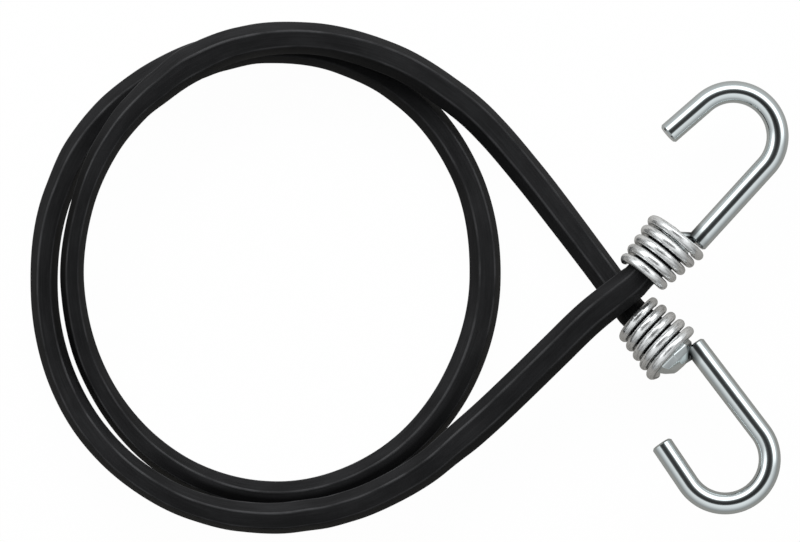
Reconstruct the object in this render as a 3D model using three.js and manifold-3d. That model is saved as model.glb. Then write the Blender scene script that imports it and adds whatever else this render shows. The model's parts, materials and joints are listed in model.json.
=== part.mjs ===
// A bungee cord as it lies on a table: one six-sided rubber rope in a loose double loop, with a
// steel hook swivelling in a wound wire coil at each end. Millimetres, +Z up, the table at z = 0.
import * as THREE from "three";
import { mergeVertices } from "three/addons/utils/BufferGeometryUtils.js";
import Module from "manifold-3d";

const wasm = await Module();
wasm.setup();

// Gap kept between pieces that touch on the real object
const CLEARANCE = 0.3;

// Rubber rope
const ROPE_FLATS = 7.8; // across two opposite flats
const ROPE_FLAT_CUT = 0.8; // depth of the flat it lies on where a corner points down
const TABLE = 400; // side of the square that cuts this flat
const ROPE_SIDES = 6;
const ROPE_STEP = 7; // from one section to the next
const ROPE_LAYER_GAP = 0.4; // between two strands lying one on the other, corner on corner
const CORNER_LEAN = 30; // degrees the section has turned onto a corner at the loop's far left
const SQUEEZE_RUN = 6; // length over which the section rounds off before a coil

// Loop of the rope: a tall ring that widens and slides from turn to turn, in degrees from +X
const LOOP_MIDDLE = new THREE.Vector2(-39.7, 0.1);
const RING_RADIUS = 58.7;
const RING_GROWTH = 2.8; // per turn
const RING_SHIFT = new THREE.Vector2(6.4, 4.3);
const RING_SLIDE = new THREE.Vector2(-5.5, -3.1); // per turn
const RING_TALLNESS = 1.9;
const LOOP_START = 100;
const LOOP_END = 640;
const LOOP_STEPS = 24; // per turn
const STEP_DOWN = [158, 222]; // where the first turn comes down to the table
const STEP_UP = [562, 612]; // where the second turn climbs the shoulder of the first
const SHOULDER_RISE = 8.1;

// Tails of the rope, from the lower hook to the loop and from the loop to the upper hook
const FIRST_TAIL = [
  [54.7, 0.1, 5.0],
  [43.1, 15.4, 3.7],
  [32.8, 28.5, 4.0],
  [22.2, 41.0, 5.6],
  [11.7, 50.7, 8.8],
  [-4.9, 60.4, 12.0],
  [-28.1, 66.2, 13.1],
];
const SECOND_TAIL = [
  [-16.7, -63.0, 11.7],
  [-5.8, -58.5, 11.3],
  [4.4, -52.5, 10.8],
  [12.5, -45.7, 10.4],
  [21.1, -38.2, 10.4],
  [30.0, -29.9, 11.0],
  [39.9, -20.4, 12.7],
  [49.7, -11.0, 14.8],
];

// Wire coil, wound right-handed and wider towards the hook
const WIRE = 2.75;
const WIRE_SIDES = 8;
const COIL_TURNS = 4.65;
const COIL_STEPS = 16; // per turn
const COIL_GAP = 0.45; // between neighbouring turns
const COIL_START = 70; // degrees from underneath to where the wire begins
const COIL_SMALL = 14.9; // outside, at the rope
const COIL_LARGE = 18.9; // outside, at the hook

// Hook: a bent rod, forged in one with a faceted head in the coil's mouth and a ringed stem in the rope
const ROD = 6.1;
const ROD_SIDES = 12;
const ROD_CHAMFER = 0.5;
const BEND_RADIUS = 12.3; // to the middle of the rod
const BEND_STEPS = 18;
const HEAD_SIDES = 8;
const HEAD_SEAT = 2.8; // how far the head reaches below the middle of the coil's last turn
const HEAD_TOP = 6.4; // across its flat end
const HEAD_SHOULDER = 1.6; // below its flat end
const HEAD_SLOPE = 0.4; // share of the way from its full width to its flat end at the shoulder
const STEM = 3.8;
const STEM_LENGTH = 9.5;
const STEM_SIDES = 16;
const STEM_RINGS = 3;
const STEM_RING = 4.8; // across a ring
const STEM_RING_WIDTH = 1.2;
const NECK = 3.0; // joins the head to the shank's foot

// Each hook is bent by hand: how far its shank is set in from the coil's rim, its straight lengths, the
// shank's lean to the open side, the bend, and how far its head rises above the coil's last turn
const LOWER_HOOK = { inset: 0.1, shank: 30.7, lean: 6.1, bend: 183.1, tip: 13.5, rise: 3.9 };
const UPPER_HOOK = { inset: 1.2, shank: 29.1, lean: 0.7, bend: 173.5, tip: 13.6, rise: 0.8 };

// Ends of the rope: where each coil starts, its direction and how far its hook has swivelled
const LOWER_END = { start: [62.9, -10.9, 7.6], heading: -46.8, pitch: 7.6, swivel: 90, hook: LOWER_HOOK };
const UPPER_END = { start: [64.0, 1.0, 15.3], heading: 46.8, pitch: -4.4, swivel: -90, hook: UPPER_HOOK };
const RUN_OUT = 6; // straight rope before each coil

// How finely lengths and gaps are measured, and how near two points are the same
const CURVE_DIVISIONS = 6000;
const GAP_STEP = 1.5;
const WELD = 1e-4;

// Finishes
const RUBBER = { color: 0x161617, roughness: 0.55, metalness: 0 };
const ZINC_WIRE = { color: 0xb9bdc0, roughness: 0.32, metalness: 1 };
const BRIGHT_STEEL = { color: 0xc6cacd, roughness: 0.16, metalness: 1 };

// Sizes that follow from the ones above
const ropeCorner = ROPE_FLATS / Math.sqrt(3);
const ropeRest = ropeCorner - ROPE_FLAT_CUT;
const ropeLayer = 2 * ropeCorner + ROPE_LAYER_GAP;
const coilPitch = WIRE + COIL_GAP;
const coilLength = COIL_TURNS * coilPitch;
const coilMouth = coilLength + WIRE / 2;
const headBase = coilLength - HEAD_SEAT;
const plugEnd = headBase - CLEARANCE;
const plugLength = plugEnd + WIRE / 2 + CLEARANCE;
const shankStart = coilMouth + CLEARANCE;
const rimOffset = COIL_LARGE / 2 - ROD / 2;

const { degToRad, lerp, smoothstep } = THREE.MathUtils;

function coilRadius(along) {
  return lerp(COIL_SMALL, COIL_LARGE, along / coilLength) / 2;
}

function boreRadius(along) {
  return coilRadius(Math.max(along, 0)) - WIRE;
}

// One cross-section of a tube: a point for each radius, evenly round, the first on the hint's side
function section(at, along, hint, radii, turn = 0) {
  const first = hint.clone().addScaledVector(along, -hint.dot(along)).normalize();
  const second = new THREE.Vector3().crossVectors(along, first);
  return radii.map((radius, k) => {
    const angle = turn + (2 * Math.PI * k) / radii.length;
    const point = at.clone().addScaledVector(first, radius * Math.cos(angle));
    return point.addScaledVector(second, radius * Math.sin(angle));
  });
}

function round(diameter, sides) {
  return Array(sides).fill(diameter / 2);
}

// A closed tube through sections with equally many points
function tube(sections) {
  const count = sections[0].length;
  const index = [];
  for (let row = 0; row + 1 < sections.length; row++) {
    for (let k = 0; k < count; k++) {
      const a = row * count + k;
      const b = row * count + ((k + 1) % count);
      index.push(a, b, b + count, a, b + count, a + count);
    }
  }
  const last = (sections.length - 1) * count;
  for (let k = 1; k + 1 < count; k++) {
    index.push(0, k + 1, k, last, last + k, last + k + 1);
  }
  const geometry = new THREE.BufferGeometry().setFromPoints(sections.flat());
  geometry.setIndex(index);
  return geometry;
}

// A solid that can be cut and joined, from a closed geometry
function solid(geometry) {
  geometry.deleteAttribute("normal");
  geometry.deleteAttribute("uv");
  const merged = mergeVertices(geometry, WELD);
  const corners = merged.index.array;
  const triangles = [];
  for (let i = 0; i < corners.length; i += 3) {
    const [a, b, c] = corners.slice(i, i + 3);
    if (a !== b && b !== c && c !== a) triangles.push(a, b, c);
  }
  const vertProperties = new Float32Array(merged.attributes.position.array);
  const triVerts = new Uint32Array(triangles);
  return new wasm.Manifold(new wasm.Mesh({ numProp: 3, vertProperties, triVerts }));
}

function geometryOf(body) {
  const mesh = body.getMesh();
  const geometry = new THREE.BufferGeometry();
  geometry.setAttribute("position", new THREE.BufferAttribute(mesh.vertProperties, 3));
  geometry.setIndex(new THREE.BufferAttribute(mesh.triVerts, 1));
  return geometry;
}

// A solid of revolution about +Z from [radius, height] pairs, lowest first
function turned(profile, sides) {
  const points = profile.map(([radius, height]) => new THREE.Vector2(radius, height));
  return solid(new THREE.LatheGeometry(points, sides).rotateX(Math.PI / 2));
}

function namedMesh(name, geometry, finish) {
  geometry.computeVertexNormals();
  const mesh = new THREE.Mesh(geometry, new THREE.MeshStandardMaterial(finish));
  mesh.name = name;
  return mesh;
}

// Frame of a rope end: its own +Z runs along the coil towards the hook
function endGroup(end) {
  const group = new THREE.Group();
  group.position.set(...end.start);
  group.rotation.set(0, degToRad(90 - end.pitch), degToRad(end.heading), "ZYX");
  group.updateMatrix();
  return group;
}

// The stem's outline, grown all round by an allowance for the bore that it turns in
function stemProfile(grow, top) {
  const tip = headBase - STEM_LENGTH;
  const profile = [[0, tip - grow], [STEM / 2 + grow, tip - grow]];
  const spacing = STEM_LENGTH / (STEM_RINGS + 1);
  for (let ring = 1; ring <= STEM_RINGS; ring++) {
    const middle = tip + ring * spacing;
    const half = STEM_RING_WIDTH / 2 + grow;
    profile.push([STEM / 2 + grow, middle - half], [STEM_RING / 2 + grow, middle - half]);
    profile.push([STEM_RING / 2 + grow, middle + half], [STEM / 2 + grow, middle + half]);
  }
  profile.push([STEM / 2 + grow, top], [0, top]);
  return profile;
}

// The rope's middle line
function loopPoint(angle) {
  const turns = angle / 360;
  const cos = Math.cos(degToRad(angle));
  const sin = Math.sin(degToRad(angle));
  let radius = RING_RADIUS + RING_GROWTH * turns - RING_TALLNESS * (cos * cos - sin * sin);
  radius += (RING_SHIFT.x + RING_SLIDE.x * turns) * cos;
  radius += (RING_SHIFT.y + RING_SLIDE.y * turns) * sin;
  const crossing = ropeLayer * (1 - smoothstep(angle, ...STEP_DOWN));
  const shoulder = SHOULDER_RISE * smoothstep(angle, ...STEP_UP);
  const height = ropeRest + crossing + shoulder;
  return new THREE.Vector3(LOOP_MIDDLE.x + radius * cos, LOOP_MIDDLE.y + radius * sin, height);
}

function endLine(end) {
  const frame = endGroup(end).matrix;
  return [plugEnd, 0, -RUN_OUT].map((along) => new THREE.Vector3(0, 0, along).applyMatrix4(frame));
}

function ropeCurve() {
  const points = [...endLine(LOWER_END), ...FIRST_TAIL.map((p) => new THREE.Vector3(...p))];
  for (let angle = LOOP_START; angle <= LOOP_END; angle += 360 / LOOP_STEPS) {
    points.push(loopPoint(angle));
  }
  points.push(...SECOND_TAIL.map((p) => new THREE.Vector3(...p)), ...endLine(UPPER_END).reverse());
  const curve = new THREE.CatmullRomCurve3(points, false, "centripetal");
  curve.arcLengthDivisions = CURVE_DIVISIONS;
  return curve;
}

// Six flats and six corners in turn, rounded off and narrowed towards a coil
function ropeRadii(fromEnd) {
  const squeezed = boreRadius(plugEnd - fromEnd) - CLEARANCE;
  const free = smoothstep(fromEnd, plugLength, plugLength + SQUEEZE_RUN);
  const flat = lerp(squeezed, ROPE_FLATS / 2, free);
  const corner = lerp(squeezed, ropeCorner, free);
  return Array.from({ length: 2 * ROPE_SIDES }, (_, k) => (k % 2 ? corner : flat));
}

function ropeLean(x) {
  const leftward = THREE.MathUtils.clamp((LOOP_MIDDLE.x - x) / RING_RADIUS, -1, 1);
  return degToRad(CORNER_LEAN) * ((1 + leftward) / 2) ** 2;
}

function ropeSections(curve, step) {
  const length = curve.getLength();
  const free = length - 2 * (plugLength + SQUEEZE_RUN);
  const count = Math.round(free / step);
  const places = [0, plugLength, plugLength + SQUEEZE_RUN / 2];
  for (let i = 0; i <= count; i++) {
    places.push(plugLength + SQUEEZE_RUN + (free * i) / count);
  }
  places.push(length - plugLength - SQUEEZE_RUN / 2, length - plugLength, length);
  return places.map((place) => {
    const at = curve.getPointAt(place / length);
    const along = curve.getTangentAt(place / length);
    const radii = ropeRadii(Math.min(place, length - place));
    return { place, at, points: section(at, along, new THREE.Vector3(0, 0, 1), radii, ropeLean(at.x)) };
  });
}

// Least gap between strands of the rope that are far apart along it
function ropeGap(sections) {
  const apart = 4 * ROPE_FLATS;
  const reach = (one, way) => Math.max(...one.points.map((p) => p.clone().sub(one.at).dot(way)));
  let least = Infinity;
  sections.forEach((one, i) => {
    for (const other of sections.slice(i + 1)) {
      const between = other.at.clone().sub(one.at);
      const distance = between.length();
      if (other.place - one.place < apart || distance > apart) continue;
      const way = between.divideScalar(distance);
      const gap = distance - reach(one, way) - reach(other, way.clone().negate());
      least = Math.min(least, gap);
    }
  });
  return least;
}

function rubberRope() {
  const curve = ropeCurve();
  console.log(`rubber_rope length ${curve.getLength().toFixed(1)} mm`);
  console.log(`rubber_rope least gap to itself ${ropeGap(ropeSections(curve, GAP_STEP)).toFixed(2)} mm`);
  const sections = ropeSections(curve, ROPE_STEP);
  let rope = solid(tube(sections.map((one) => one.points)));
  const depth = ropeCorner;
  const table = new THREE.BoxGeometry(TABLE, TABLE, depth).translate(0, 0, -depth / 2);
  rope = rope.subtract(solid(table));
  for (const end of [LOWER_END, UPPER_END]) {
    const bore = turned(stemProfile(CLEARANCE, coilMouth), STEM_SIDES);
    rope = rope.subtract(bore.transform(endGroup(end).matrix.toArray()));
  }
  return geometryOf(rope);
}

// Wire coil along +Z from the small end
function wireCoil() {
  const steps = Math.round(COIL_TURNS * COIL_STEPS);
  const middles = [];
  for (let i = 0; i <= steps; i++) {
    const angle = degToRad(COIL_START) + (2 * Math.PI * COIL_TURNS * i) / steps;
    const along = (coilLength * i) / steps;
    const radius = coilRadius(along) - WIRE / 2;
    middles.push(new THREE.Vector3(radius * Math.cos(angle), radius * Math.sin(angle), along));
  }
  const sections = middles.map((at, i) => {
    const before = middles[Math.max(i - 1, 0)];
    const after = middles[Math.min(i + 1, steps)];
    const along = after.clone().sub(before).normalize();
    return section(at, along, new THREE.Vector3(at.x, at.y, 0), round(WIRE, WIRE_SIDES));
  });
  let least = Infinity;
  middles.forEach((at, i) => {
    for (const other of middles.slice(i + COIL_STEPS / 2)) {
      least = Math.min(least, at.distanceTo(other) - WIRE);
    }
  });
  console.log(`coil least gap to itself ${least.toFixed(2)} mm`);
  return tube(sections);
}

// Rod through points of the hook's own plane, with a chamfer at each end
function rod(points, diameter, chamfer) {
  const directions = points.map((at, i) => {
    const before = points[Math.max(i - 1, 0)];
    const after = points[Math.min(i + 1, points.length - 1)];
    return after.clone().sub(before).normalize();
  });
  const sections = [];
  const add = (at, along, across) => {
    sections.push(section(at, along, new THREE.Vector3(0, 1, 0), round(across, ROD_SIDES)));
  };
  points.forEach((at, i) => {
    const along = directions[i];
    if (i === 0) add(at, along, diameter - 2 * chamfer);
    const inset = i === 0 ? chamfer : i === points.length - 1 ? -chamfer : 0;
    add(at.clone().addScaledVector(along, inset), along, diameter);
    if (i === points.length - 1) add(at, along, diameter - 2 * chamfer);
  });
  return solid(tube(sections));
}

// Hook in its end's frame, its shank on the +X side
function hookBody(hook) {
  const lean = degToRad(hook.lean);
  const bend = degToRad(hook.bend);
  const shankFoot = new THREE.Vector3(rimOffset - hook.inset, 0, shankStart);
  const shankTop = new THREE.Vector3(-Math.sin(lean), 0, Math.cos(lean));
  shankTop.multiplyScalar(hook.shank).add(shankFoot);
  const middle = new THREE.Vector3(-Math.cos(lean), 0, -Math.sin(lean));
  middle.multiplyScalar(BEND_RADIUS).add(shankTop);
  const points = [shankFoot];
  for (let i = 0; i <= BEND_STEPS; i++) {
    const angle = lean + (bend * i) / BEND_STEPS;
    const spoke = new THREE.Vector3(Math.cos(angle), 0, Math.sin(angle));
    points.push(spoke.multiplyScalar(BEND_RADIUS).add(middle));
  }
  const tip = new THREE.Vector3(-Math.sin(lean + bend), 0, Math.cos(lean + bend)).multiplyScalar(hook.tip);
  points.push(tip.add(points.at(-1)));

  const headEnd = coilLength + hook.rise;
  const bellyHeight = headEnd - 2 * HEAD_SHOULDER;
  const waist = boreRadius(headBase) - CLEARANCE;
  const belly = boreRadius(Math.min(bellyHeight, coilLength)) - CLEARANCE;
  const head = turned([
    [0, headBase],
    [waist, headBase],
    [belly, bellyHeight],
    [lerp(belly, HEAD_TOP / 2, HEAD_SLOPE), headEnd - HEAD_SHOULDER],
    [HEAD_TOP / 2, headEnd],
    [0, headEnd],
  ], HEAD_SIDES);
  const stem = turned(stemProfile(0, (headBase + headEnd) / 2), STEM_SIDES);
  const neckTop = shankFoot.clone().lerp(shankTop, (NECK / 2 + ROD_CHAMFER) / hook.shank);
  const neck = rod([new THREE.Vector3(0, 0, headEnd - HEAD_SHOULDER), neckTop], NECK, ROD_CHAMFER);
  return geometryOf(rod(points, ROD, ROD_CHAMFER).add(neck).add(head).add(stem));
}

function endFitting(end, which) {
  const group = endGroup(end);
  const hook = namedMesh(`${which}_hook`, hookBody(end.hook), BRIGHT_STEEL);
  hook.rotation.z = degToRad(end.swivel);
  group.add(namedMesh(`${which}_coil`, wireCoil(), ZINC_WIRE), hook);
  return group;
}

const bungeeCord = new THREE.Group();
bungeeCord.add(namedMesh("rubber_rope", rubberRope(), RUBBER));
bungeeCord.add(endFitting(LOWER_END, "lower"), endFitting(UPPER_END, "upper"));

// Origin on the table, under the middle of the whole cord
const middle = new THREE.Box3().setFromObject(bungeeCord, true).getCenter(new THREE.Vector3());
bungeeCord.position.set(-middle.x, -middle.y, 0);
export default bungeeCord;
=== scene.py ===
import json
import math

import bmesh
import bpy
from bpy.props import FloatProperty, FloatVectorProperty, IntProperty, PointerProperty
from mathutils import Matrix, Vector


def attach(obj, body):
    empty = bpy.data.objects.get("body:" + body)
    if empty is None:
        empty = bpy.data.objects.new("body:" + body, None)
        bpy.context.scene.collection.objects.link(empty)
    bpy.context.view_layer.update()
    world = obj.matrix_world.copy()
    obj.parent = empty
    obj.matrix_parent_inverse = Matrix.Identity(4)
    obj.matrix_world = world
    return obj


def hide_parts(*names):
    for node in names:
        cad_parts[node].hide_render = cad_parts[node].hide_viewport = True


bl_info = {
    "name": "Bungee cord",
    "version": (1, 0, 0),
    "blender": (4, 5, 0),
    "location": "3D View > Sidebar > Bungee cord",
    "description": "Models a rubber bungee cord with a steel hook at each end around its packed solids",
    "category": "Object",
}

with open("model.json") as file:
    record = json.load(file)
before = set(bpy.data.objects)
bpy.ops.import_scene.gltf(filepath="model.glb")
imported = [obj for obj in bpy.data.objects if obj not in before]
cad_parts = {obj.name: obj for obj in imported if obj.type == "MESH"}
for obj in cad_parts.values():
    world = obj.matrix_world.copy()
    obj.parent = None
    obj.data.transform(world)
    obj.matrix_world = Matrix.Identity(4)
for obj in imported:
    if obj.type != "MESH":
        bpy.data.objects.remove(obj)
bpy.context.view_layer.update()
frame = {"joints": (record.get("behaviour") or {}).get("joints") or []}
MM = 0.001

# Route of the rope in millimetres, before the origin moves under the middle of the cord. The loop is a ring
# whose radius grows from turn to turn, and which slides sideways as it does
LOOP_MIDDLE = (-39.7, 0.1)
RING_RADIUS = 58.7
RING_GROWTH = 2.8
RING_SHIFT = (6.4, 4.3)
RING_SLIDE = (-5.5, -3.1)
RING_TALLNESS = 1.9
LOOP_ANGLES = range(100, 641, 15)
STEP_DOWN = (158, 222)
STEP_UP = (562, 612)
SHOULDER_RISE = 8.1
STRAND_RISE = 9.407
FIRST_TAIL = (
    (54.7, 0.1, 5.0),
    (43.1, 15.4, 3.7),
    (32.8, 28.5, 4.0),
    (22.2, 41.0, 5.6),
    (11.7, 50.7, 8.8),
    (-4.9, 60.4, 12.0),
    (-28.1, 66.2, 13.1),
)
SECOND_TAIL = (
    (-16.7, -63.0, 11.7),
    (-5.8, -58.5, 11.3),
    (4.4, -52.5, 10.8),
    (12.5, -45.7, 10.4),
    (21.1, -38.2, 10.4),
    (30.0, -29.9, 11.0),
    (39.9, -20.4, 12.7),
    (49.7, -11.0, 14.8),
)
RUN_OUT = 2.5
REST_HEIGHT = 3.7033

# How the rope lies along its length in millimetres: degrees that its top flat leans outwards, its width as a
# share of the plain section's, and how many millimetres it is pushed outwards
ROPE_LIE = (
    (0.0, 9.0, 1.0, 0.0),
    (25.0, 9.0, 1.0, 0.0),
    (60.0, 9.0, 1.05, 0.2),
    (80.0, 8.0, 1.05, 0.1),
    (95.0, 7.0, 1.05, -0.35),
    (113.0, 4.0, 1.03, -0.1),
    (136.0, -5.0, 1.0, 0.05),
    (153.0, -10.0, 1.06, 0.75),
    (157.0, -10.0, 1.08, 0.75),
    (170.0, -10.0, 1.16, 0.05),
    (181.0, -10.0, 1.04, -0.7),
    (190.0, -10.0, 0.93, -0.65),
    (204.0, -8.0, 0.83, -0.75),
    (222.0, -5.0, 0.72, -1.0),
    (245.0, -4.0, 0.75, -0.45),
    (270.0, 1.0, 0.81, -0.1),
    (302.0, 6.0, 0.9, 0.12),
    (335.0, 14.0, 0.96, 0.15),
    (365.0, 12.0, 1.0, -0.05),
    (400.0, 11.0, 1.05, -0.2),
    (428.0, 9.0, 1.0, 0.1),
    (458.0, 6.0, 0.93, 0.75),
    (476.0, 2.0, 0.91, 0.85),
    (490.0, 0.0, 0.93, 0.65),
    (505.0, -2.0, 0.97, 0.2),
    (528.0, -6.0, 1.02, -0.5),
    (540.0, -10.0, 1.14, -0.85),
    (547.5, -11.0, 1.2, -1.0),
    (556.0, -12.0, 1.02, -0.3),
    (564.0, -14.0, 0.98, 0.0),
    (577.0, -15.0, 0.97, 0.4),
    (589.0, -13.0, 0.95, 0.5),
    (602.0, -10.0, 0.92, 0.0),
    (630.0, -3.0, 0.86, -0.7),
    (670.0, 3.0, 0.93, -0.35),
    (692.0, 6.0, 0.92, -0.5),
    (709.0, 8.0, 0.93, -0.35),
    (722.0, 9.0, 0.97, -0.1),
    (737.0, 9.0, 1.0, 0.85),
    (744.0, 8.0, 1.0, 0.85),
    (753.0, 7.0, 0.99, 0.3),
    (780.0, 5.0, 1.02, 0.2),
    (792.0, 2.0, 1.1, 0.4),
    (840.0, 2.0, 1.1, 0.0),
    (870.0, 2.0, 1.0, 0.0),
)

# Stretches of the rope, in millimetres along it, that get painted shade where the other strand lies beside or
# above it:
# where the painted shade begins, where it is full, where it starts to fade and where it has gone
SHADE_BESIDE_STRETCH = (185.0, 215.0, 370.0, 400.0)
SHADE_BELOW_STRETCH = (290.0, 315.0, 385.0, 410.0)

# Each end of the cord, in millimetres and degrees: where its coil starts, the coil's heading and pitch, how
# far its hook has swivelled, and that hook's inset, shank, lean, bend, tip and its head's rise over the coil
ENDS = {
    "lower": {
        "start": (62.9, -10.9, 7.6), "heading": -46.8, "pitch": 7.6, "swivel": 90.0,
        "inset": 0.1, "shank": 30.7, "lean": 6.1, "bend": 183.1, "tip": 13.5, "rise": 3.9,
    },
    "upper": {
        "start": (64.0, 1.0, 15.3), "heading": 46.8, "pitch": -4.4, "swivel": -90.0,
        "inset": 1.2, "shank": 29.1, "lean": 0.7, "bend": 173.5, "tip": 13.6, "rise": 0.8,
    },
}
LOWER_JOINT = next(j for j in frame["joints"] if j["name"] == "lower_hook_swivel")
ORIGIN_SHIFT = Vector(LOWER_JOINT["pos_m"]) - Vector(ENDS["lower"]["start"]) * MM

# The notch between head and shank: its middle as a share of the neck, and the span in millimetres of the
# painted shade around it
NOTCH_SHARE = 0.75
NOTCH_SHADE_SPAN = 10.0

# The studio that the steel mirrors: middle and reach of the dark patch overhead, as parts of a direction, and
# the colour of the rest
PATCH_MIDDLE = (-0.02, 0.1)
PATCH_REACH = (0.5, 0.38)
ROOM_COLOUR = (0.975, 1.0, 1.01, 1.0)
WHITE = (1.0, 1.0, 1.0, 1.0)


def length(name, description, millimetres):
    """A property that holds a length."""
    return FloatProperty(
        name=name, description=description, default=millimetres * MM, min=0.0, unit="LENGTH", precision=5
    )


def degrees(name, description, value):
    """A property that holds an angle, given in degrees."""
    return FloatProperty(name=name, description=description, default=math.radians(value), subtype="ANGLE")


def number(name, description, value):
    """A property that holds a plain number, such as a share or a brightness."""
    return FloatProperty(name=name, description=description, default=value, min=0.0)


def amount(name, description, value):
    """A property that holds a whole number of sides, steps or rings."""
    return IntProperty(name=name, description=description, default=value, min=3)


def colour(name, description, default):
    """A property that holds a colour."""
    return FloatVectorProperty(
        name=name, description=description, default=default, min=0.0, max=1.0, size=3, subtype="COLOR"
    )


class RopeSettings(bpy.types.PropertyGroup):
    """Sizes and colours of the rubber rope."""
    flats: length("Across flats", "Width of the six-sided rope between two opposite flats", 7.8)
    edge: length("Edge radius", "Rounding of the rope's six edges", 0.55)
    edge_points: amount("Edge points", "Points on each rounded edge of a cross-section", 5)
    step: length("Step", "Distance from one cross-section to the next", 1.5)
    squeeze: length("Squeeze", "Length over which the rope rounds off before a coil", 2.0)
    smooth: degrees("Smooth", "Faces that meet at less than this angle are shaded as one", 50.0)
    rubber: colour("Rubber", "Colour of the rubber", (0.0105, 0.0105, 0.011))
    # The worn edge colour is a painted highlight along the rope's rounded edges.
    edge_highlight: colour("Worn edge", "Colour of the rubber where its edges are rubbed", (0.05, 0.05, 0.052))


class CoilSettings(bpy.types.PropertyGroup):
    """Sizes and colours of the two wire coils."""
    wire: length("Wire", "Thickness of the wire", 2.75)
    sides: amount("Sides", "Sides of the wire's cross-section", 20)
    rim: length("Rim", "Rounding of the wire's cut ends", 0.35)
    small: length("Small end", "Outside width of the coil at the rope", 14.9)
    large: length("Large end", "Outside width of the coil at the hook", 18.9)
    pitch: length("Pitch", "Distance from one turn to the next", 3.2)
    turns: number("Turns", "Number of turns of the wire", 4.65)
    begin: degrees("Begin", "Where the wire begins, from underneath", 70.0)
    steps: amount("Steps", "Cross-sections in each turn", 40)
    smooth: degrees("Smooth", "Faces that meet at less than this angle are shaded as one", 40.0)
    zinc: colour("Zinc", "Colour of the plated wire", (0.95, 0.985, 0.98))


class HookSettings(bpy.types.PropertyGroup):
    """Sizes and colours of the two hooks."""
    rod: length("Rod", "Thickness of the bent rod", 6.1)
    rod_sides: amount("Rod sides", "Sides of the rod's cross-section", 48)
    chamfer: length("Chamfer", "Chamfer on the rod's cut ends", 0.5)
    bend: length("Bend radius", "Radius of the bend at the middle of the rod", 12.3)
    bend_steps: amount("Bend steps", "Cross-sections in the bend", 72)
    gap: length("Gap", "Room between the hook and the coil and rope", 0.3)
    seat: length("Seat", "How far the head reaches below the middle of the coil's last turn", 2.8)
    top: length("Head end", "Width of the head's flat end", 6.4)
    head_sides: amount("Head sides", "Number of flats round the head", 8)
    head_edge: length("Head edge", "Rounding of the head's edges", 0.18)
    shoulder: length("Shoulder", "Height of each of the head's two slopes", 1.6)
    slope: number("Slope", "Share of the head's narrowing that its lower slope takes", 0.4)
    neck: length("Neck", "Thickness of the neck between the head and the shank", 3.0)
    stem: length("Stem", "Thickness of the stem inside the rope", 3.8)
    stem_sides: amount("Stem sides", "Sides of the round stem and neck", 32)
    stem_length: length("Stem length", "How far the stem reaches into the rope", 9.5)
    rings: amount("Rings", "Number of rings on the stem", 3)
    stem_ring: length("Stem ring", "Thickness of the rings on the stem", 4.8)
    ring_half: length("Ring half", "Half the height of a ring on the stem", 0.6)
    smooth: degrees("Smooth", "Faces that meet at less than this angle are shaded as one", 10.0)
    steel: colour("Steel", "Colour of the polished steel", (0.765, 0.815, 0.82))
    # The grime colour is painted shade, put on the steel in the notch between head and shank.
    notch_shade: colour("Grime", "Colour of the notch between the head and the shank", (0.02, 0.02, 0.02))


class StageSettings(bpy.types.PropertyGroup):
    """Camera, lamp, floor and studio."""
    view_width: length("View width", "Width of what the camera sees", 222.2)
    view_x: length("View left", "How far the view's middle lies to the left of the route's zero", 2.8)
    view_y: length("View up", "How far the view's middle lies above the route's zero in the picture", 1.8)
    view_z: length("View height", "Height of the view's middle over the floor", 8.0)
    camera_height: length("Camera height", "Height of the camera over the view's middle", 1800.0)
    sensor: length("Sensor", "Width of the camera's sensor", 36.0)
    lamp_azimuth: degrees("Lamp azimuth", "Direction of the lamp round the cord, from +X", 100.0)
    lamp_elevation: degrees("Lamp elevation", "Angle of the lamp over the floor", 33.0)
    lamp_distance: length("Lamp distance", "Distance of the lamp from the view's middle", 1300.0)
    lamp_width: length("Lamp width", "Width of the lamp's face", 2000.0)
    lamp_depth: length("Lamp depth", "Depth of the lamp's face", 450.0)
    lamp_radiance: number("Lamp radiance", "Brightness of the lamp's face", 8.2)
    floor_size: length("Floor size", "Width of the square floor", 8000.0)
    floor: colour("Floor", "Colour of the floor where it is lit", (0.22, 0.22, 0.22))
    white_level: number("White level", "Brightness of the white that the camera sees", 1.045)
    white_share: number("White share", "Share of that white in what the camera sees of the floor", 0.94)
    # The mirrored tones are painted light: the floor glows with them in the steel, lighter by the lamp and
    # darker on the far side.
    mirrored_south: colour("Mirrored south", "Tone of the near floor in the steel", (0.37, 0.358, 0.335))
    mirrored_north: colour("Mirrored north", "Tone of the floor by the lamp in the steel", (0.62, 0.62, 0.61))
    mirrored_share: number("Mirrored share", "Share of these tones in the floor that the steel mirrors", 0.65)
    lit_level: number("Lit level", "Brightness of the studio on the lamp's side", 1.65)
    far_share: number("Far share", "Share of the studio's far side that falls on dull surfaces", 0.22)
    patch_least: number("Patch light", "Least light from overhead that falls on dull surfaces", 0.3)


def coil_length(coil):
    """Length of a coil from the middle of its first wire end to that of its last."""
    return coil.turns * coil.pitch


def bore_radius(coil, along):
    """Radius of the room inside a coil."""
    share = max(along, 0.0) / coil_length(coil)
    return (coil.small + (coil.large - coil.small) * share) / 2 - coil.wire


def head_base(coil, hook):
    """Where the head's underside is, along the coil."""
    return coil_length(coil) - hook.seat


def rope_end(coil, hook):
    """Where the rope ends under the head, along the coil."""
    return head_base(coil, hook) - hook.gap


def end_matrix(end):
    """Places a rope end's own frame, whose +Z runs along the coil towards the hook and +X down."""
    at = Matrix.Translation(Vector(end["start"]) * MM + ORIGIN_SHIFT)
    heading = Matrix.Rotation(math.radians(end["heading"]), 4, "Z")
    return at @ heading @ Matrix.Rotation(math.radians(90.0 - end["pitch"]), 4, "Y")


def hook_matrix(end):
    """Places a hook, which is modelled along +Z with its shank on the +X side."""
    return end_matrix(end) @ Matrix.Rotation(math.radians(end["swivel"]), 4, "Z")


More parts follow.
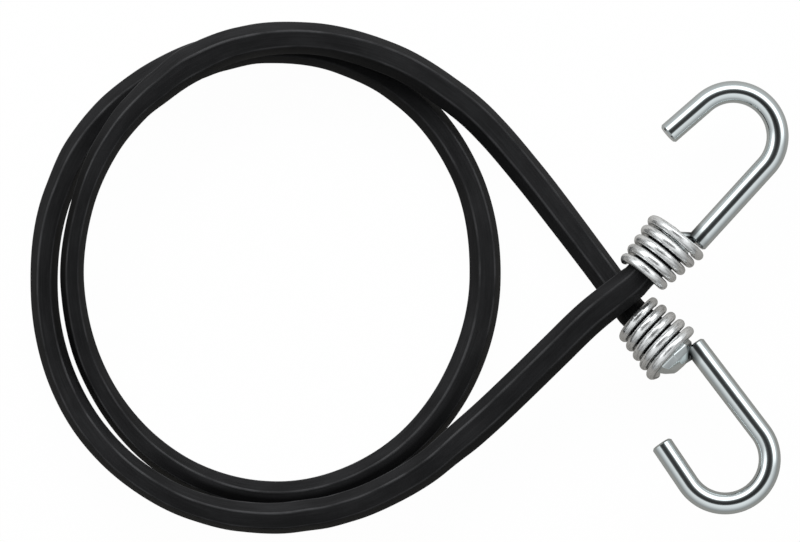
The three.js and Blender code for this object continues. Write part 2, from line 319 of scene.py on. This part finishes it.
def shank_line(coil, hook, end):
    """Foot of the shank, its direction and its top, on the hook."""
    side = (coil.large - hook.rod) / 2 - end["inset"] * MM
    foot = Vector((side, 0, coil_length(coil) + coil.wire / 2 + hook.gap))
    lean = math.radians(end["lean"])
    way = Vector((-math.sin(lean), 0, math.cos(lean)))
    return foot, way, foot + way * end["shank"] * MM


def neck_line(coil, hook, end):
    """Both ends of the neck between head and shank, on the hook."""
    foot, way, _ = shank_line(coil, hook, end)
    low = Vector((0, 0, coil_length(coil) + end["rise"] * MM - hook.shoulder))
    return low, foot + way * (hook.neck / 2 + hook.chamfer)


def notch_middle(coil, hook, end):
    """Middle of the notch between head and shank, in the finished frame."""
    low, high = neck_line(coil, hook, end)
    return hook_matrix(end) @ low.lerp(high, NOTCH_SHARE)


def mix(a, b, share):
    """A number between two others."""
    return a + (b - a) * share


def ease(value, low, high):
    """Smooth step from 0 at low to 1 at high."""
    share = min(max((value - low) / (high - low), 0.0), 1.0)
    return share * share * (3.0 - 2.0 * share)


def shade(paint, share):
    """A colour made darker, or lighter as far as white."""
    return [min(part * share, 1.0) for part in paint]


class Value:
    """A number, colour or shader from a shader node, for use in sums or as another node's input."""

    def __init__(self, finish, socket):
        self.finish = finish
        self.socket = socket

    def math(self, operation, *others):
        """What a Math node makes of this number and others."""
        return self.finish.node("Math", {"operation": operation}, dict(enumerate((self, *others))))

    def __add__(self, other):
        return self.math("ADD", other)

    def __sub__(self, other):
        return self.math("SUBTRACT", other)

    def __rsub__(self, other):
        return self.finish.node("Math", {"operation": "SUBTRACT"}, {0: other, 1: self})

    def __mul__(self, other):
        return self.math("MULTIPLY", other)

    def __pow__(self, other):
        return self.math("POWER", other)

    __radd__ = __add__
    __rmul__ = __mul__


class Finish:
    """A material or a world under construction."""

    def __init__(self, owner):
        self.owner = owner
        owner.use_nodes = True
        self.tree = owner.node_tree
        self.tree.nodes.clear()

    def node(self, kind, settings=None, inputs=None, output=0):
        """Adds a node with its settings, then its sockets' values or links, and gives one of its outputs."""
        made = self.tree.nodes.new("ShaderNode" + kind)
        for name, value in (settings or {}).items():
            if name == "stops":
                self.set_stops(made.color_ramp, value)
            else:
                setattr(made, name, value)
        for name, value in (inputs or {}).items():
            if isinstance(value, Value):
                self.tree.links.new(value.socket, made.inputs[name])
            else:
                made.inputs[name].default_value = value
        return Value(self, made.outputs[output]) if made.outputs else None

    @staticmethod
    def set_stops(ramp, stops):
        """Gives a colour ramp its stops, as (place, grey) pairs."""
        while len(ramp.elements) < len(stops):
            ramp.elements.new(0.5)
        for element, (place, grey) in zip(ramp.elements, stops):
            element.position = place
            element.color = (grey, grey, grey, 1.0)

    def blend(self, share, first, second):
        """A colour between two others."""
        paint = [v if isinstance(v, Value) else (*v, 1.0) for v in (first, second)]
        return self.node("Mix", {"data_type": "RGBA"}, {0: share, 6: paint[0], 7: paint[1]}, output=2)

    def vector(self, x, y, z):
        return self.node("CombineXYZ", None, {0: x, 1: y, 2: z})

    def noise(self, vector, scale, detail, roughness):
        return self.node(
            "TexNoise", None, {"Vector": vector, "Scale": scale, "Detail": detail, "Roughness": roughness}
        )

    def ramp(self, value, stops):
        return self.node("ValToRGB", {"stops": stops}, {0: value})

    def bump(self, height, strength, distance):
        return self.node("Bump", None, {"Height": height, "Strength": strength, "Distance": distance})

    def ray(self, kind):
        """1 for one kind of light ray and 0 for the rest."""
        return self.node("LightPath", output=f"Is {kind} Ray")

    def close(self, surface, kind="OutputMaterial"):
        """Ends with the output node and gives the finished material or world."""
        self.node(kind, None, {"Surface": surface})
        return self.owner


def surface_place(finish, map_name):
    """Place on a long piece from its UV map: (millimetres along, cosine and sine round it), and the angle."""
    uv = finish.node("UVMap", {"uv_map": map_name})
    along, around = (finish.node("SeparateXYZ", None, {0: uv}, output=k) for k in range(2))
    angle = around * (2.0 * math.pi)
    return (along, angle.math("COSINE"), angle.math("SINE")), angle


def marks(finish, place, along, around, scale, detail=3.0, roughness=0.6):
    """A noise pattern on a long piece, by how fast it changes along the piece and around it."""
    far, cos, sin = place
    return finish.noise(finish.vector(far * along, cos * around, sin * around), scale, detail, roughness)


def rubber_finish(rope):
    """Black rubber with fine drawn lines, dull patches, a painted highlight along its edges and painted shade
    where the strands lie against each other.
    """
    finish = Finish(bpy.data.materials.new("black_rubber"))
    place, angle = surface_place(finish, "rope")
    along, _, sin = place
    outwards = sin * 0.5 + 0.5

    def stretch(limits):
        """1 along a stretch of the rope, fading to 0 at both ends."""
        return finish.ramp(along * MM, [(far * MM, grey) for far, grey in zip(limits, (0.0, 1.0, 1.0, 0.0))])

    lines = marks(finish, place, 0.02, 9.0, 3.0, 5.0, 0.65)
    patches = marks(finish, place, 0.06, 0.8, 1.0, 4.0)
    grain = marks(finish, place, 1.2, 5.0, 2.2)
    # Painted highlight: the rope's six rounded edges get a lighter colour, broken up by this noise.
    highlighted = marks(finish, place, 0.11, 1.0, 1.0, roughness=0.5)
    corner = (angle * 6.0).math("COSINE") * -0.5 + 0.5
    edge = finish.ramp(corner, [(0.9, 0.0), (0.995, 1.0)]) * finish.ramp(highlighted, [(0.36, 0.2), (0.62, 1.0)])
    dust = finish.ramp(lines * 0.5 + patches * 0.5, [(0.42, 0.0), (0.68, 1.0)])
    base = finish.blend(dust * 0.9, shade(rope.rubber, 0.85), shade(rope.rubber, 2.0))
    # Painted shade: along these stretches the rope's outward side turns near black, where the other strand
    # lies beside it or above it.
    beside = finish.ramp(outwards, [(0.7, 0.0), (0.86, 1.0)]) * stretch(SHADE_BESIDE_STRETCH)
    below = finish.ramp(outwards, [(0.36, 0.0), (0.5, 1.0)]) * stretch(SHADE_BELOW_STRETCH)
    painted_hollow_shade = finish.blend(beside.math("MAXIMUM", below) * 0.85, base, shade(rope.rubber, 0.2))
    shader = finish.node("BsdfPrincipled", None, {
        "Base Color": finish.blend(edge * 0.8, painted_hollow_shade, rope.edge_highlight),
        "Roughness": patches * 0.22 + lines * 0.12 + 0.3,
        "Specular IOR Level": 0.07,
        "Normal": finish.bump(lines * 0.5 + grain * 0.35, 0.35, 0.00025),
    })
    return finish.close(shader)


def wire_finish(coil):
    """Plated wire with drawn streaks and dark nicks along it, and painted shade where two turns meet."""
    finish = Finish(bpy.data.materials.new("zinc_wire"))
    place, _ = surface_place(finish, "wire")
    sin = place[2]
    streaks = marks(finish, place, 0.035, 4.0, 2.5, 4.0)
    smears = marks(finish, place, 0.16, 1.6, 1.2)
    nicks = marks(finish, place, 0.14, 1.2, 2.2)
    dull = finish.ramp(smears, [(0.4, 0.0), (0.72, 1.0)])
    shiny = finish.blend(dull * 0.3 + streaks * 0.2, shade(coil.zinc, 1.08), shade(coil.zinc, 0.75))
    dark = finish.ramp(nicks, [(0.34, 1.0), (0.44, 0.0)]) * 0.5
    # Painted shade: the sides of each turn that face its neighbours turn dark, darkening the gaps between
    # turns.
    gap_shade = finish.ramp(sin * sin, [(0.78, 0.0), (0.99, 1.0)]) * 0.85
    shader = finish.node("BsdfPrincipled", None, {
        "Base Color": finish.blend(dark.math("MAXIMUM", gap_shade), shiny, shade(coil.zinc, 0.1)),
        "Metallic": 0.84,
        "Roughness": dull * 0.08 + streaks * 0.04 + 0.04,
        "Normal": finish.bump(nicks + streaks * 0.12, 0.5, 0.0003),
    })
    return finish.close(shader)


def steel_finish(coil, hook):
    """Bright plated steel with faint polishing marks, and painted shade in the notch between head and shank.
    """
    finish = Finish(bpy.data.materials.new("bright_steel"))
    place = finish.node("TexCoord", output="Object")
    cloud = finish.noise(place, 90.0, 4.0, 0.6)
    waves = finish.noise(place, 160.0, 2.0, 0.4)
    clean = finish.blend(
        finish.ramp(cloud, [(0.35, 0.0), (0.75, 1.0)]), shade(hook.steel, 1.08), hook.steel
    )
    lower, upper = (
        finish.node("VectorMath", {"operation": "DISTANCE"}, {0: place, 1: notch}, output="Value")
        for notch in (notch_middle(coil, hook, end) for end in ENDS.values())
    )
    far = lower.math("MINIMUM", upper) * (1.0 / (NOTCH_SHADE_SPAN * MM))
    # Painted shade: the steel turns dark near the notch of either hook.
    notch_shade = finish.ramp(far, [(0.2, 1.0), (0.45, 0.0)])
    shader = finish.node("BsdfPrincipled", None, {
        "Base Color": finish.blend(notch_shade * 0.95, clean, hook.notch_shade),
        "Metallic": 1.0,
        "Roughness": cloud * 0.05 + 0.07,
        "Normal": finish.bump(waves, 0.1, 0.0004),
    })
    return finish.close(shader)


def loop_point(angle):
    """A point of the loop, in millimetres, at an angle from +X that runs on from turn to turn."""
    turns = angle / 360.0
    cos, sin = math.cos(math.radians(angle)), math.sin(math.radians(angle))
    radius = RING_RADIUS + RING_GROWTH * turns - RING_TALLNESS * (cos * cos - sin * sin)
    radius += (RING_SHIFT[0] + RING_SLIDE[0] * turns) * cos + (RING_SHIFT[1] + RING_SLIDE[1] * turns) * sin
    height = REST_HEIGHT + STRAND_RISE * (1.0 - ease(angle, *STEP_DOWN))
    height += SHOULDER_RISE * ease(angle, *STEP_UP)
    return LOOP_MIDDLE[0] + radius * cos, LOOP_MIDDLE[1] + radius * sin, height


def rope_end_points(end, inside):
    """The straight run of the rope into a coil, innermost first."""
    matrix = end_matrix(end)
    return [matrix @ Vector((0.0, 0.0, along)) for along in (inside, 0.0, -RUN_OUT * MM)]


def smooth_line(points, parts=24):
    """A centripetal curve through points, as many short straight parts."""
    ends = [2 * points[0] - points[1], *points, 2 * points[-1] - points[-2]]
    line = [points[0]]
    for p0, p1, p2, p3 in zip(ends, ends[1:], ends[2:], ends[3:]):
        d0, d1, d2 = (p1 - p0).length ** 0.5, (p2 - p1).length ** 0.5, (p3 - p2).length ** 0.5
        t1 = ((p1 - p0) / d0 - (p2 - p0) / (d0 + d1) + (p2 - p1) / d1) * d1
        t2 = ((p2 - p1) / d1 - (p3 - p1) / (d1 + d2) + (p3 - p2) / d2) * d1
        for i in range(1, parts + 1):
            t = i / parts
            line.append(
                p1 + t1 * t + (3 * (p2 - p1) - 2 * t1 - t2) * t * t + (2 * (p1 - p2) + t1 + t2) * t * t * t
            )
    return line


def even_places(line, step):
    """Points about one step apart along a line, each with its distance from the start, and the length."""
    far = [0.0]
    for a, b in zip(line, line[1:]):
        far.append(far[-1] + (b - a).length)
    count = round(far[-1] / step)
    places, i = [], 0
    for k in range(count + 1):
        goal = far[-1] * k / count
        while i + 2 < len(far) and far[i + 1] < goal:
            i += 1
        share = (goal - far[i]) / (far[i + 1] - far[i])
        places.append((goal, line[i].lerp(line[i + 1], share)))
    return places, far[-1]


def six_sides(rope):
    """Outline of the rope: six flats with rounded edges, as (radius, angle) from the first flat's middle."""
    outline = []
    sixth = math.pi / 3
    middle = (rope.flats / 2 - rope.edge) / math.cos(sixth / 2)
    for side in range(6):
        outline.append((rope.flats / 2, side * sixth))
        corner = (side + 0.5) * sixth
        for k in range(rope.edge_points):
            turn = corner + sixth * (k / (rope.edge_points - 1) - 0.5)
            x = middle * math.cos(corner) + rope.edge * math.cos(turn)
            y = middle * math.sin(corner) + rope.edge * math.sin(turn)
            outline.append((math.hypot(x, y), math.atan2(y, x) % (2 * math.pi)))
    return outline


def rope_lie(far):
    """Lean of the rope's top flat, share of its width and push outwards, at a distance along it."""
    for low, high in zip(ROPE_LIE, ROPE_LIE[1:]):
        if far / MM <= high[0]:
            break
    share = ease(far / MM, low[0], high[0])
    lean, width, push = (mix(a, b, share) for a, b in zip(low[1:], high[1:]))
    return math.radians(lean), width, push * MM


def rope_rings(rope, coil, hook, places, whole, outline):
    """Cross-sections of the rope, each with its distance along it: round in the coils, six-sided between."""
    inside = rope_end(coil, hook)
    held = inside + coil.wire / 2 + hook.gap
    rings = []
    for k, (far, at) in enumerate(places):
        before, after = places[max(k - 1, 0)][1], places[min(k + 1, len(places) - 1)][1]
        along = (after - before).normalized()
        up = (Vector((0, 0, 1)) - along * along.z).normalized()
        side = along.cross(up)
        from_end = min(far, whole - far)
        squeezed = bore_radius(coil, inside - from_end) - hook.gap
        free = ease(from_end, held, held + rope.squeeze)
        lean, width, push = rope_lie(far)
        width = mix(1.0, width, free)
        middle = at + side * push
        ring = []
        for across, angle in outline:
            radius = mix(squeezed, across, free)
            turn = angle + lean * free
            point = middle + (up * math.cos(turn) + side * math.sin(turn) * width) * radius
            ring.append(Vector((point.x, point.y, max(point.z, 0.0))))
        rings.append((far, ring))
    return rings


def stem_profile(coil, hook, grow, top):
    """Radius and height of the stem's steps, from its inner end up, grown all round for the bore."""
    tip = head_base(coil, hook) - hook.stem_length
    plain, ringed = hook.stem / 2 + grow, hook.stem_ring / 2 + grow
    half = hook.ring_half + grow
    profile = [(plain, tip - grow)]
    for ring in range(1, hook.rings + 1):
        middle = tip + ring * hook.stem_length / (hook.rings + 1)
        low, high = middle - half, middle + half
        profile += [(plain, low), (ringed, low), (ringed, high), (plain, high)]
    return [*profile, (plain, top)]


def bore_rings(coil, hook, end, outline, sign):
    """Cross-sections of the bore for a hook's stem, from its mouth inwards."""
    matrix = end_matrix(end)
    turns = [sign * angle for _, angle in outline]
    return [
        [matrix @ Vector((-radius * math.cos(turn), radius * math.sin(turn), height)) for turn in turns]
        for radius, height in reversed(stem_profile(coil, hook, hook.gap, rope_end(coil, hook)))
    ]


def tube_mesh(name, map_name, rings, outline):
    """A closed mesh through rings, with a UV map of the millimetres along it and the turn round it."""
    count = len(outline)
    turns = [angle / (2 * math.pi) for _, angle in outline] + [1.0]
    vertices = [point for _, ring in rings for point in ring]
    faces, corners = [], []
    for row, ((near, _), (ahead, _)) in enumerate(zip(rings, rings[1:])):
        for k in range(count):
            a, b = row * count + k, row * count + (k + 1) % count
            faces.append((a, b, b + count, a + count))
            corners += [(near, turns[k]), (near, turns[k + 1]), (ahead, turns[k + 1]), (ahead, turns[k])]
    start = len(vertices) - count
    faces += [tuple(reversed(range(count))), tuple(range(start, start + count))]
    corners += [(far, turn) for far in (rings[0][0], rings[-1][0]) for turn in turns[:-1]]
    mesh = bpy.data.meshes.new(name)
    mesh.from_pydata(vertices, [], faces)
    layer = mesh.uv_layers.new(name=map_name)
    for spot, (far, turn) in zip(layer.data, corners):
        spot.uv = (far / MM, turn)
    return mesh


def finish_piece(piece, name, body, node, material):
    """Names a finished piece, gives it its finish and hands it to the frame."""
    piece.name = name
    piece.data.name = name
    piece.data.materials.clear()
    piece.data.materials.append(material)
    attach(piece, body)
    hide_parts(node)


def select_only(piece):
    """Makes a piece the only one that operators act on."""
    bpy.ops.object.select_all(action="DESELECT")
    piece.select_set(True)
    bpy.context.view_layer.objects.active = piece


def move_mesh(piece, matrix):
    """Moves a piece by a matrix and puts its place into its mesh."""
    select_only(piece)
    piece.matrix_world = matrix
    bpy.ops.object.transform_apply(location=True, rotation=True, scale=True)


def start_disc(sides, radius, location, rotation=(0.0, 0.0, 0.0)):
    """A new disc with its place in its mesh, selected in edit mode and ready to be extruded."""
    bpy.ops.object.select_all(action="DESELECT")
    bpy.ops.mesh.primitive_circle_add(
        vertices=sides, radius=radius, fill_type="NGON", location=location, rotation=rotation
    )
    bpy.ops.object.transform_apply(location=True, rotation=True, scale=True)
    bpy.ops.object.mode_set(mode="EDIT")
    bpy.ops.mesh.select_all(action="SELECT")
    return bpy.context.object


def face_outwards():
    """Turns all faces of the mesh in edit mode outwards."""
    bpy.ops.mesh.select_all(action="SELECT")
    bpy.ops.mesh.normals_make_consistent(inside=False)


def bevel_caps(piece, width, segments=2):
    """Rounds the rims of a rod's flat ends, in edit mode."""
    bpy.ops.mesh.select_all(action="DESELECT")
    bpy.ops.mesh.select_mode(type="EDGE")
    sheet = bmesh.from_edit_mesh(piece.data)
    for face in sheet.faces:
        if len(face.verts) > 4:
            for edge in face.edges:
                edge.select_set(True)
    bmesh.update_edit_mesh(piece.data)
    bpy.ops.mesh.bevel(offset=width, segments=segments, affect="EDGES")
    bpy.ops.mesh.select_mode(type="FACE")


def turned(profile, sides):
    """A turned piece about +Z from (radius, height) pairs: a disc raised and resized step by step."""
    radius, height = profile[0]
    piece = start_disc(sides, radius, (0, 0, height))
    for next_radius, next_height in profile[1:]:
        bpy.ops.mesh.extrude_region_move(TRANSFORM_OT_translate={"value": (0, 0, next_height - height)})
        size = next_radius / radius
        bpy.ops.transform.resize(value=(size, size, 1), center_override=(0, 0, next_height))
        radius, height = next_radius, next_height
    face_outwards()
    bpy.ops.object.mode_set(mode="OBJECT")
    return piece


class BUNGEE_OT_rope(bpy.types.Operator):
    """Models the rubber rope from hook to hook"""
    bl_idname = "bungee.rope"
    bl_label = "Rubber rope"

    def execute(self, context):
        scene = context.scene
        rope, coil, hook = scene.bungee_rope, scene.bungee_coil, scene.bungee_hook
        lower, upper, inside = ENDS["lower"], ENDS["upper"], rope_end(coil, hook)
        loop = [loop_point(angle) for angle in LOOP_ANGLES]
        points = rope_end_points(lower, inside)
        points += [Vector(p) * MM + ORIGIN_SHIFT for p in (*FIRST_TAIL, *loop, *SECOND_TAIL)]
        points += reversed(rope_end_points(upper, inside))
        places, whole = even_places(smooth_line(points), rope.step)
        outline = six_sides(rope)
        rings = [(0.0, ring) for ring in reversed(bore_rings(coil, hook, lower, outline, 1))]
        rings += rope_rings(rope, coil, hook, places, whole, outline)
        rings += [(whole, ring) for ring in bore_rings(coil, hook, upper, outline, -1)]
        piece = bpy.data.objects.new("rope", tube_mesh("rubber_rope", "rope", rings, outline))
        scene.collection.objects.link(piece)
        select_only(piece)
        bpy.ops.object.mode_set(mode="EDIT")
        face_outwards()
        bpy.ops.object.mode_set(mode="OBJECT")
        bpy.ops.object.shade_smooth_by_angle(angle=rope.smooth)
        finish_piece(piece, "rope", "cord", "rubber_rope", rubber_finish(rope))
        return {"FINISHED"}


class BUNGEE_OT_coils(bpy.types.Operator):
    """Winds one wire coil and puts a copy of it at each end of the rope"""
    bl_idname = "bungee.coils"
    bl_label = "Wire coils"

    def execute(self, context):
        coil = context.scene.bungee_coil
        wound = self.wind(coil)
        self.map_wire(wound, coil)
        bpy.ops.object.shade_smooth_by_angle(angle=coil.smooth)
        material = wire_finish(coil)
        for name, end in ENDS.items():
            select_only(wound)
            bpy.ops.object.duplicate()
            piece = context.object
            move_mesh(piece, end_matrix(end) @ Matrix.Rotation(coil.begin, 4, "Z"))
            finish_piece(piece, name + "_wire", "cord", name + "_coil", material)
        bpy.data.objects.remove(wound)
        return {"FINISHED"}

    @staticmethod
    def wind(coil):
        """Winds the wire about +Z, one short extrusion after another."""
        steps = round(coil.turns * coil.steps)
        turn = 2 * math.pi * coil.turns / steps
        rise = coil_length(coil) / steps
        widen = (coil.large - coil.small) / 2 / steps
        start = ((coil.small - coil.wire) / 2, 0, 0)
        wound = start_disc(coil.sides, coil.wire / 2, start, (math.pi / 2, 0, 0))
        for step in range(1, steps + 1):
            bpy.ops.mesh.extrude_region_move()
            bpy.ops.transform.rotate(value=-turn, orient_axis="Z", center_override=(0, 0, 0))
            angle = turn * step
            bpy.ops.transform.translate(value=(widen * math.cos(angle), widen * math.sin(angle), rise))
        face_outwards()
        bevel_caps(wound, coil.rim)
        bpy.ops.object.mode_set(mode="OBJECT")
        return wound

    @staticmethod
    def map_wire(wound, coil):
        """Lays a UV map along the wire and round it."""
        mesh = wound.data
        layer = mesh.uv_layers.new(name="wire")
        middle_radius = (coil.small + coil.large) / 4 - coil.wire / 2

        def where(point, near):
            """Turns along the wire and share of a turn round it, for a point on the turn near a given one."""
            angle = math.atan2(point.y, point.x) / (2 * math.pi)
            turns = angle + round(near - angle)
            radius = mix(coil.small, coil.large, turns / coil.turns) / 2 - coil.wire / 2
            out, up = math.hypot(point.x, point.y) - radius, point.z - coil.pitch * turns
            return turns, math.atan2(up, out) / (2 * math.pi)

        for face in mesh.polygons:
            centre = face.center
            angle = math.atan2(centre.y, centre.x) / (2 * math.pi)
            near = angle + round(centre.z / coil.pitch - angle)
            _, face_around = where(centre, near)
            for k in face.loop_indices:
                turns, around = where(mesh.vertices[mesh.loops[k].vertex_index].co, near)
                around += round(face_around - around)
                layer.data[k].uv = (turns * 2 * math.pi * middle_radius / MM, around)


class BUNGEE_OT_hooks(bpy.types.Operator):
    """Bends the rod of each hook and joins it to its head and stem"""
    bl_idname = "bungee.hooks"
    bl_label = "Steel hooks"

    def execute(self, context):
        coil, hook = context.scene.bungee_coil, context.scene.bungee_hook
        material = steel_finish(coil, hook)
        for name, end in ENDS.items():
            piece = self.bent_rod(coil, hook, end)
            for other in (self.head(coil, hook, end), self.stem(coil, hook), self.neck(coil, hook, end)):
                self.weld(piece, other)
            select_only(piece)
            bpy.ops.object.shade_smooth_by_angle(angle=hook.smooth)
            move_mesh(piece, hook_matrix(end))
            finish_piece(piece, name + "_steel", name + "_hook", name + "_hook", material)
        return {"FINISHED"}

    @staticmethod
    def bent_rod(coil, hook, end):
        """The rod: a straight shank, a spun bend and a straight tip."""
        foot, _, top = shank_line(coil, hook, end)
        lean, bend = math.radians(end["lean"]), math.radians(end["bend"])
        piece = start_disc(hook.rod_sides, hook.rod / 2, foot, (0, -lean, 0))
        bpy.ops.mesh.extrude_region_move(TRANSFORM_OT_translate={"value": top - foot})
        centre = top + Vector((-math.cos(lean), 0, -math.sin(lean))) * hook.bend
        bpy.ops.mesh.spin(steps=hook.bend_steps, angle=bend, center=centre, axis=(0, 1, 0))
        tip_way = Vector((-math.sin(lean + bend), 0, math.cos(lean + bend)))
        bpy.ops.mesh.extrude_region_move(TRANSFORM_OT_translate={"value": tip_way * end["tip"] * MM})
        bpy.ops.mesh.select_all(action="SELECT")
        bpy.ops.mesh.remove_doubles(threshold=0.001 * MM)
        face_outwards()
        bevel_caps(piece, hook.chamfer, 1)
        bpy.ops.object.mode_set(mode="OBJECT")
        return piece

    @staticmethod
    def head(coil, hook, end):
        """The faceted head in the coil's mouth."""
        base = head_base(coil, hook)
        top = coil_length(coil) + end["rise"] * MM
        belly = top - 2 * hook.shoulder
        belly_radius = bore_radius(coil, min(belly, coil_length(coil))) - hook.gap
        piece = turned([
            (bore_radius(coil, base) - hook.gap, base),
            (belly_radius, belly),
            (mix(belly_radius, hook.top / 2, hook.slope), top - hook.shoulder),
            (hook.top / 2, top),
        ], hook.head_sides)
        bpy.ops.object.mode_set(mode="EDIT")
        bpy.ops.mesh.select_all(action="SELECT")
        bpy.ops.mesh.bevel(offset=hook.head_edge, segments=2, affect="EDGES")
        bpy.ops.object.mode_set(mode="OBJECT")
        return piece

    @staticmethod
    def stem(coil, hook):
        """The ringed stem, reaching a little way into the head."""
        return turned(
            stem_profile(coil, hook, 0.0, head_base(coil, hook) + hook.shoulder / 4), hook.stem_sides
        )

    @staticmethod
    def neck(coil, hook, end):
        """The short round neck from the head to the foot of the shank."""
        low, high = neck_line(coil, hook, end)
        run = high - low
        piece = start_disc(hook.stem_sides, hook.neck / 2, low, (0, math.atan2(run.x, run.z), 0))
        bpy.ops.mesh.extrude_region_move(TRANSFORM_OT_translate={"value": run})
        face_outwards()
        bpy.ops.object.mode_set(mode="OBJECT")
        return piece

    @staticmethod
    def weld(piece, other):
        """Joins another solid to a piece and removes it."""
        select_only(piece)
        union = piece.modifiers.new("weld", "BOOLEAN")
        union.operation = "UNION"
        union.solver = "EXACT"
        union.object = other
        bpy.ops.object.modifier_apply(modifier=union.name)
        bpy.data.objects.remove(other)


class BUNGEE_OT_stage(bpy.types.Operator):
    """Sets up the floor, the studio, the lamp and the camera"""
    bl_idname = "bungee.stage"
    bl_label = "Stage"

    def execute(self, context):
        scene, stage = context.scene, context.scene.bungee_stage
        middle = Vector((-stage.view_x, stage.view_y, 0.0)) + ORIGIN_SHIFT
        middle.z = stage.view_z
        self.floor(stage)
        self.studio(scene, stage)
        self.softbox(scene, stage, middle)
        self.camera(scene, stage, middle)
        scene.view_settings.view_transform = "Standard"
        return {"FINISHED"}

    @staticmethod
    def floor(stage):
        """A floor that is plain white to the camera and grey to the steel, where it glows with painted light:
        lighter on the lamp's side and darker on the far side.
        """
        bpy.ops.object.select_all(action="DESELECT")
        bpy.ops.mesh.primitive_plane_add(size=stage.floor_size, location=(0.0, 0.0, 0.0))
        sheet = bpy.context.object
        sheet.name = "floor"
        finish = Finish(bpy.data.materials.new("floor"))
        lit = finish.node("BsdfDiffuse", None, {"Color": (*stage.floor, 1.0)})
        white = finish.node("Emission", None, {"Color": WHITE, "Strength": stage.white_level})
        # Painted light: to the steel the floor glows with a tone that is lighter on the lamp's side and
        # darker on the far side.
        north = finish.node("SeparateXYZ", None, {0: finish.node("TexCoord", output="Object")}, output=1)
        northwards = finish.ramp(north * 5.0 + 0.5, [(0.6, 0.0), (1.0, 1.0)])
        tone = finish.blend(northwards, stage.mirrored_south, stage.mirrored_north)
        mirrored = finish.node("Emission", None, {"Color": tone, "Strength": 1.0})
        to_camera = (finish.ray("Camera") + finish.ray("Transmission")) * stage.white_share
        seen = finish.node("MixShader", None, {0: to_camera, 1: lit, 2: white})
        to_steel = finish.ray("Glossy") * stage.mirrored_share
        sheet.data.materials.append(
            finish.close(finish.node("MixShader", None, {0: to_steel, 1: seen, 2: mirrored}))
        )

    @staticmethod
    def studio(scene, stage):
        """A studio with a dark patch overhead, white on the lamp's side and greyer on the other."""
        studio = Finish(bpy.data.worlds.new("studio"))
        scene.world = studio.owner
        way = studio.node("TexCoord", output="Generated")
        east, north, up = (studio.node("SeparateXYZ", None, {0: way}, output=k) for k in range(3))
        across = (east - PATCH_MIDDLE[0]) * (1.0 / PATCH_REACH[0])
        upright = (north - PATCH_MIDDLE[1]) * (1.0 / PATCH_REACH[1])
        off_patch = across ** 2.0 + upright ** 2.0
        open_air = studio.ramp(
            off_patch * 0.5, [(0.0, 0.02), (0.25, 0.06), (0.45, 0.13), (0.6, 0.5), (0.78, 1.0)]
        )
        lit_side = studio.ramp(up, [(0.0, 0.3), (0.3, 0.36), (0.46, 1.0)])
        far_side = studio.ramp(up, [(0.0, 0.28), (0.3, 0.43), (0.5, 0.6), (0.65, 0.74), (0.9, 0.85)])
        lit = studio.ramp(north * 0.5 + 0.5, [(0.48, 0.0), (0.62, 1.0)])
        glossy_ray = studio.ray("Glossy")
        far_fill = far_side * (1.0 - lit) * (glossy_ray * (1.0 - stage.far_share) + stage.far_share)
        overhead = open_air.math("MAXIMUM", (1.0 - glossy_ray) * stage.patch_least)
        level = overhead * (far_fill + lit_side * lit * stage.lit_level)
        room = studio.node("Background", None, {"Color": ROOM_COLOUR, "Strength": level})
        white = studio.node("Background", None, {"Color": WHITE})
        seen = studio.node("MixShader", None, {0: studio.ray("Camera"), 1: room, 2: white})
        studio.close(seen, "OutputWorld")

    @staticmethod
    def softbox(scene, stage, aim):
        """A large lamp at an angle from the cord, unseen by the camera and the steel."""
        turn, lift = stage.lamp_azimuth, stage.lamp_elevation
        way = Vector((math.cos(turn) * math.cos(lift), math.sin(turn) * math.cos(lift), math.sin(lift)))
        lamp = bpy.data.lights.new("main_softbox", "AREA")
        lamp.shape = "RECTANGLE"
        lamp.size, lamp.size_y = stage.lamp_width, stage.lamp_depth
        lamp.energy = stage.lamp_radiance * math.pi * stage.lamp_width * stage.lamp_depth
        made = bpy.data.objects.new("main_softbox", lamp)
        scene.collection.objects.link(made)
        made.location = aim + way * stage.lamp_distance
        made.rotation_euler = way.to_track_quat("Z", "Y").to_euler()
        made.visible_camera = False
        made.visible_glossy = False

    @staticmethod
    def camera(scene, stage, aim):
        """A camera straight above the cord, looking down."""
        lens = bpy.data.cameras.new("camera")
        camera = bpy.data.objects.new("camera", lens)
        scene.collection.objects.link(camera)
        camera.location = aim + Vector((0.0, 0.0, stage.camera_height))
        lens.sensor_width = stage.sensor / MM
        lens.lens = lens.sensor_width * stage.camera_height / stage.view_width
        lens.clip_end = 50.0
        scene.camera = camera


class BUNGEE_PT_panel(bpy.types.Panel):
    """Lists the steps that model the cord"""
    bl_idname = "BUNGEE_PT_panel"
    bl_label = "Bungee cord"
    bl_space_type = "VIEW_3D"
    bl_region_type = "UI"
    bl_category = "Bungee cord"

    def draw(self, context):
        for name, settings, operator in STEPS:
            box = self.layout.box()
            box.operator(operator.bl_idname)
            for setting in settings.__annotations__:
                box.prop(getattr(context.scene, name), setting)


STEPS = (
    ("bungee_rope", RopeSettings, BUNGEE_OT_rope),
    ("bungee_coil", CoilSettings, BUNGEE_OT_coils),
    ("bungee_hook", HookSettings, BUNGEE_OT_hooks),
    ("bungee_stage", StageSettings, BUNGEE_OT_stage),
)
CLASSES = (*(part for _, *pair in STEPS for part in pair), BUNGEE_PT_panel)


def register():
    for one in CLASSES:
        bpy.utils.register_class(one)
    for name, settings, _ in STEPS:
        setattr(bpy.types.Scene, name, PointerProperty(type=settings))


def unregister():
    for name, *_ in STEPS:
        delattr(bpy.types.Scene, name)
    for one in reversed(CLASSES):
        bpy.utils.unregister_class(one)


def main():
    register()
    bpy.ops.bungee.rope()
    bpy.ops.bungee.coils()
    bpy.ops.bungee.hooks()
    bpy.ops.bungee.stage()


if __name__ == "__main__":
    main()
